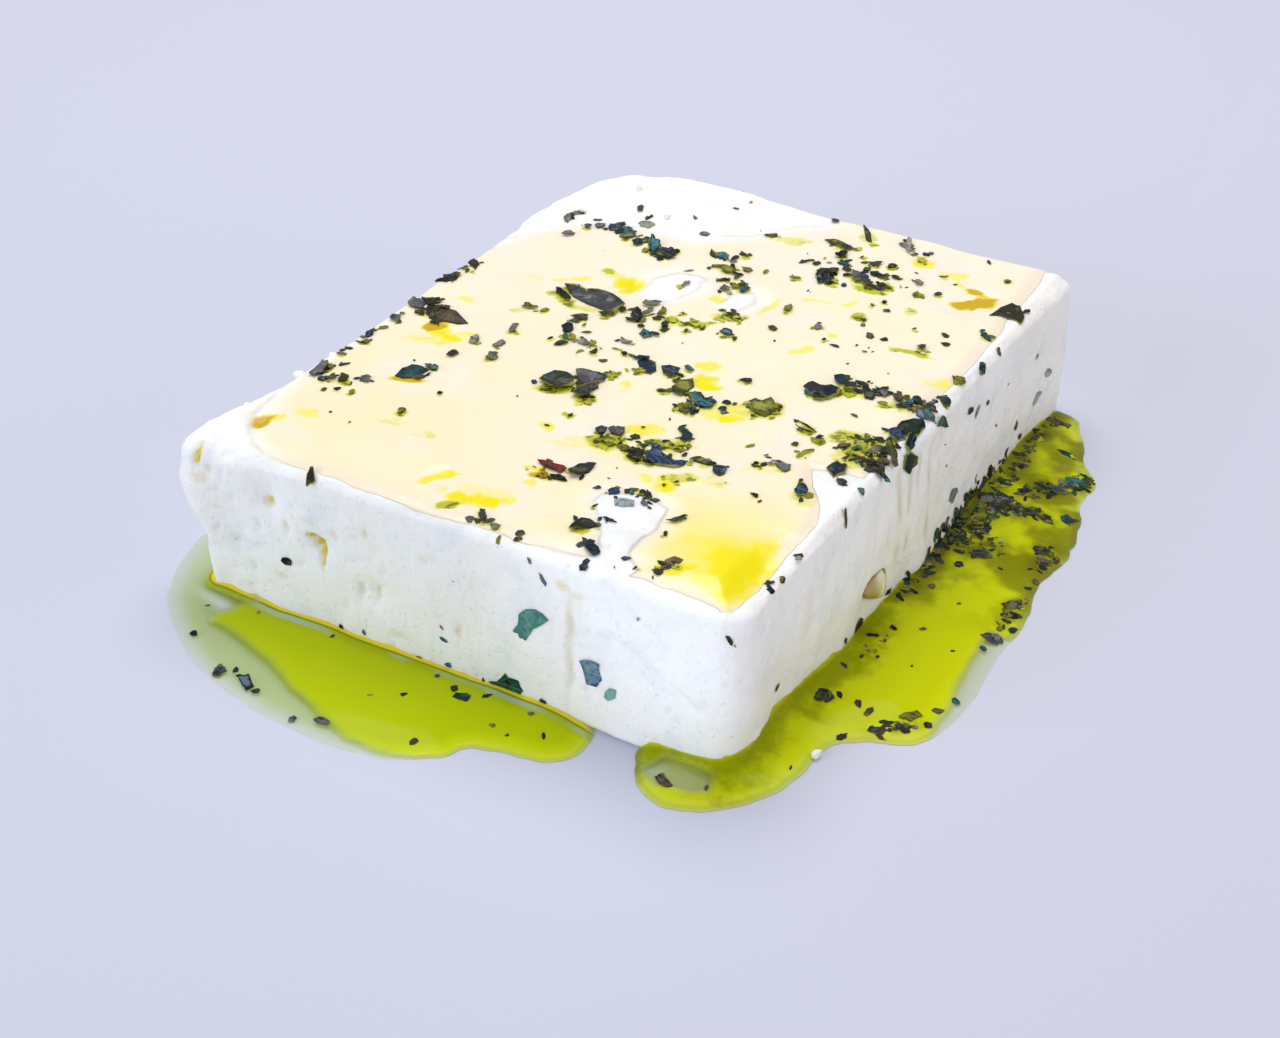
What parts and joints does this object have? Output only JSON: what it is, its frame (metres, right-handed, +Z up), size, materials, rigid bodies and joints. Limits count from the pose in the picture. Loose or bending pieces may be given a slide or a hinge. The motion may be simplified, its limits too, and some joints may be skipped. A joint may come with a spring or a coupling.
{
  "type": "feta cheese slab with olive oil and dried herbs",
  "caption": "Low rectangular slab of white brined cheese with crumbly sides, scattered with dried herb flakes and dressed with oil that lies in shallow pools against its foot.",
  "frame": {"origin": "middle of the slab's flat base, in the plane that the slab and the oil pools rest on", "axes": "+Z up, +Y along the slab's long side towards its broken corner, +X towards the long face with the larger oil pool"},
  "size_m": [0.1062, 0.1247, 0.0246],
  "materials": {
    "cheese": "moist, finely crumbly curd with a satin sheen",
    "oil": "clear yellow-green olive oil, glossy",
    "herb": "dried dark green leaf, matt when dry and glossy where wet"
  },
  "bodies": {
    "root": {"feta_slab": "cheese", "oil_pool_left": "oil", "oil_pool_right": "oil"}
  },
  "joints": []
}
